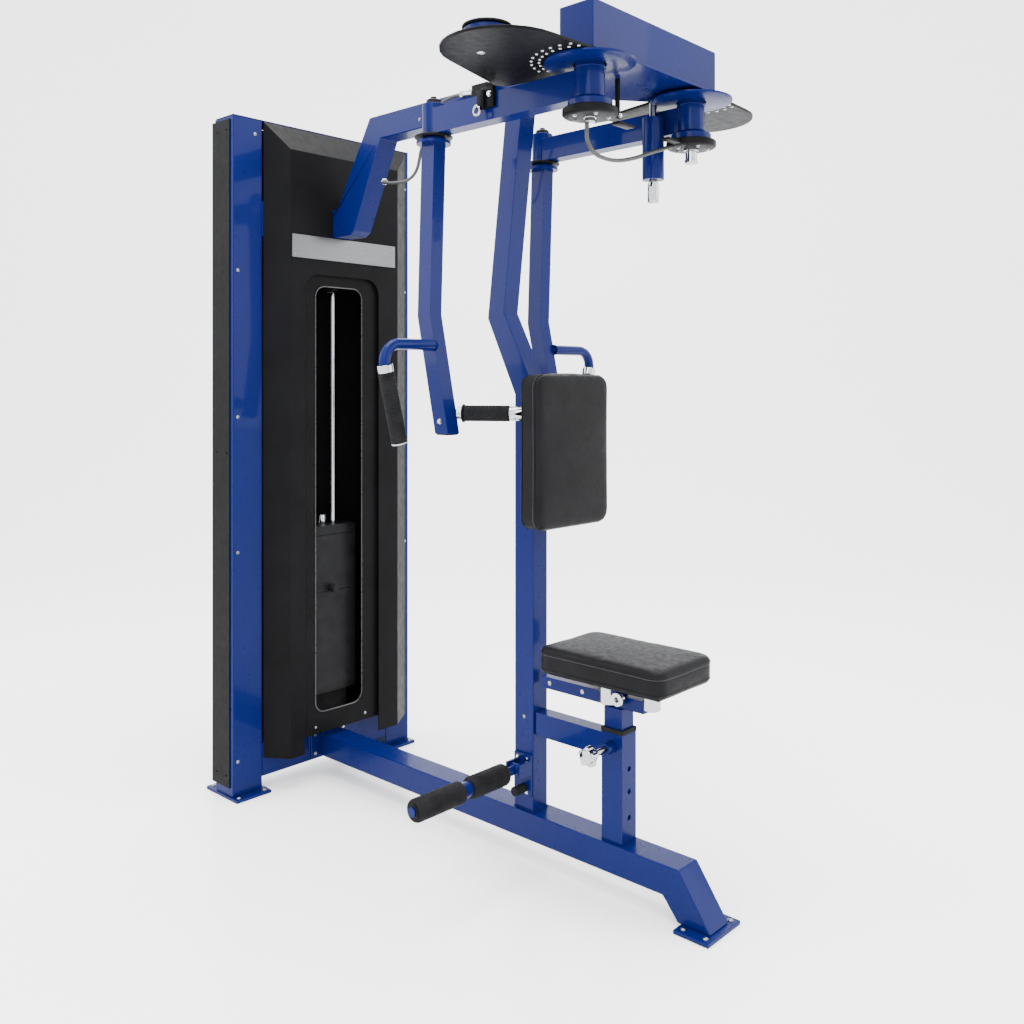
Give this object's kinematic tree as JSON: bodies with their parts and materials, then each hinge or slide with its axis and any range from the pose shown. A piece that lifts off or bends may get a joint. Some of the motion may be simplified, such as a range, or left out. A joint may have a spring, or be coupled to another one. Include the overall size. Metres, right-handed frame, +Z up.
{
  "type": "pec deck machine",
  "caption": "Selectorised chest-fly and rear-delt machine: weight tower, overhead boom with pivoting arms, chest pad and height-set seat.",
  "frame": {"origin": "middle of the front foot's sole, on the floor", "axes": "+Z up, -Y towards the user's end, +Y towards the weight tower, X = 0 through the base beam, column and boom"},
  "size_m": [0.95, 1.422, 1.852],
  "materials": {
    "blue_paint": "gloss royal-blue powder coat",
    "black_paint": "satin black powder coat",
    "chrome": "polished",
    "brushed_plate": "brushed along its length",
    "rubber": "fine ribbed matte",
    "leatherette": "grained black leatherette",
    "plate_steel": "black oxide",
    "cable_jacket": "smooth black jacket"
  },
  "bodies": {
    "root": {"base_beam": "blue_paint", "front_foot_plate": "blue_paint", "column": "blue_paint", "boom": "blue_paint", "header_crossbar": "blue_paint", "header_mount_plate": "blue_paint", "left_upright": "blue_paint", "right_upright": "blue_paint", "left_foot_plate": "blue_paint", "right_foot_plate": "blue_paint", "floor_crossmember": "blue_paint", "boom_crossmember": "blue_paint", "tower_cap": "blue_paint", "chest_pad_bracket": "blue_paint", "seat_post_sleeve": "blue_paint", "seat_brace": "blue_paint", "foot_lever_bracket": "blue_paint", "left_side_cover": "black_paint", "rear_cover": "black_paint", "front_shroud": "black_paint", "window_panel": "black_paint", "cable_bracket": "black_paint", "left_pivot_shaft": "chrome", "right_pivot_shaft": "chrome", "left_guide_rod": "chrome", "right_guide_rod": "chrome", "front_plaque": "brushed_plate", "stack_bumper": "rubber", "post_collar": "rubber", "foot_lever_bumper": "rubber", "chest_pad": "leatherette", "resting_plates": "plate_steel", "arm_cable": "cable_jacket"},
    "left_drive": {"left_cam_plate": "black_paint"},
    "right_drive": {"right_cam_plate": "black_paint"},
    "left_overhead_link": {"left_link": "blue_paint"},
    "right_overhead_link": {"right_link": "blue_paint"},
    "range_release": {"range_pin": "chrome"},
    "left_swing_arm": {"left_arm": "blue_paint", "left_outer_handle": "blue_paint", "left_outer_grip": "rubber", "left_inner_handle": "chrome", "left_inner_grip": "rubber"},
    "right_swing_arm": {"right_arm": "blue_paint", "right_outer_handle": "blue_paint", "right_outer_grip": "rubber", "right_inner_handle": "chrome", "right_inner_grip": "rubber"},
    "carriage": {"lifted_plates": "plate_steel", "carriage_plate": "plate_steel", "selector_stem": "chrome"},
    "selector": {"selector_pin": "rubber"},
    "cable_wheel": {"lift_pulley": "black_paint"},
    "seat": {"seat_post": "blue_paint", "seat_rail": "blue_paint", "seat_pad": "leatherette"},
    "seat_release": {"seat_pin": "chrome"},
    "foot_lever": {"foot_lever_bar": "blue_paint", "inner_foot_roller": "rubber", "outer_foot_roller": "rubber"}
  },
  "joints": [
    {"name": "left_cam_swing", "type": "hinge", "parent": "root", "child": "left_drive", "pos_m": [-0.184, 0.155, 1.747], "axis": [0, 0, 1], "range_deg": [0, 95]},
    {"name": "right_cam_swing", "type": "hinge", "parent": "root", "child": "right_drive", "pos_m": [0.184, 0.155, 1.747], "axis": [0, 0, 1], "range_deg": [-95, 0]},
    {"name": "left_start_position", "type": "hinge", "parent": "left_drive", "child": "left_overhead_link", "pos_m": [-0.184, 0.155, 1.7], "axis": [0, 0, 1], "range_deg": [0, 50]},
    {"name": "right_start_position", "type": "hinge", "parent": "right_drive", "child": "right_overhead_link", "pos_m": [0.184, 0.155, 1.7], "axis": [0, 0, 1], "range_deg": [-50, 0]},
    {"name": "left_arm_swivel", "type": "hinge", "parent": "left_overhead_link", "child": "left_swing_arm", "pos_m": [-0.19, 0.605, 1.652], "axis": [0, 0, 1], "range_deg": [-50, 10]},
    {"name": "right_arm_swivel", "type": "hinge", "parent": "right_overhead_link", "child": "right_swing_arm", "pos_m": [0.19, 0.605, 1.652], "axis": [0, 0, 1], "range_deg": [-10, 50]},
    {"name": "range_pin_pull", "type": "slide", "parent": "right_overhead_link", "child": "range_release", "axis": [0, 0, -1], "range_m": [0, 0.018], "stiffness_N_per_m": 600, "springref_m": -0.012},
    {"name": "carriage_lift", "type": "slide", "parent": "root", "child": "carriage", "axis": [0, 0, 1], "range_m": [0, 0.4]},
    {"name": "selector_pin_pull", "type": "slide", "parent": "carriage", "child": "selector", "axis": [0, -1, 0], "range_m": [0, 0.05]},
    {"name": "cable_wheel_turn", "type": "hinge", "parent": "root", "child": "cable_wheel", "pos_m": [0, 1.2475, 1.398], "axis": [1, 0, 0], "range_deg": [0, 700]},
    {"name": "seat_height", "type": "slide", "parent": "root", "child": "seat", "axis": [0, 0, 1], "range_m": [0, 0.11]},
    {"name": "seat_pin_pull", "type": "slide", "parent": "root", "child": "seat_release", "axis": [-1, 0, 0], "range_m": [0, 0.015], "stiffness_N_per_m": 600, "springref_m": -0.008},
    {"name": "foot_lever_push", "type": "hinge", "parent": "root", "child": "foot_lever", "pos_m": [-0.056, 0.47, 0.218], "axis": [0, -1, 0], "range_deg": [0, 10], "stiffness_Nm_per_rad": 40, "springref_deg": -17.19}
  ],
  "couplings": [
    {"joint": "right_cam_swing", "follows": "left_cam_swing", "ratio": -1},
    {"joint": "carriage_lift", "follows": "left_cam_swing", "m_per_rad": 0.24112},
    {"joint": "cable_wheel_turn", "follows": "left_cam_swing", "ratio": 6.989}
  ]
}
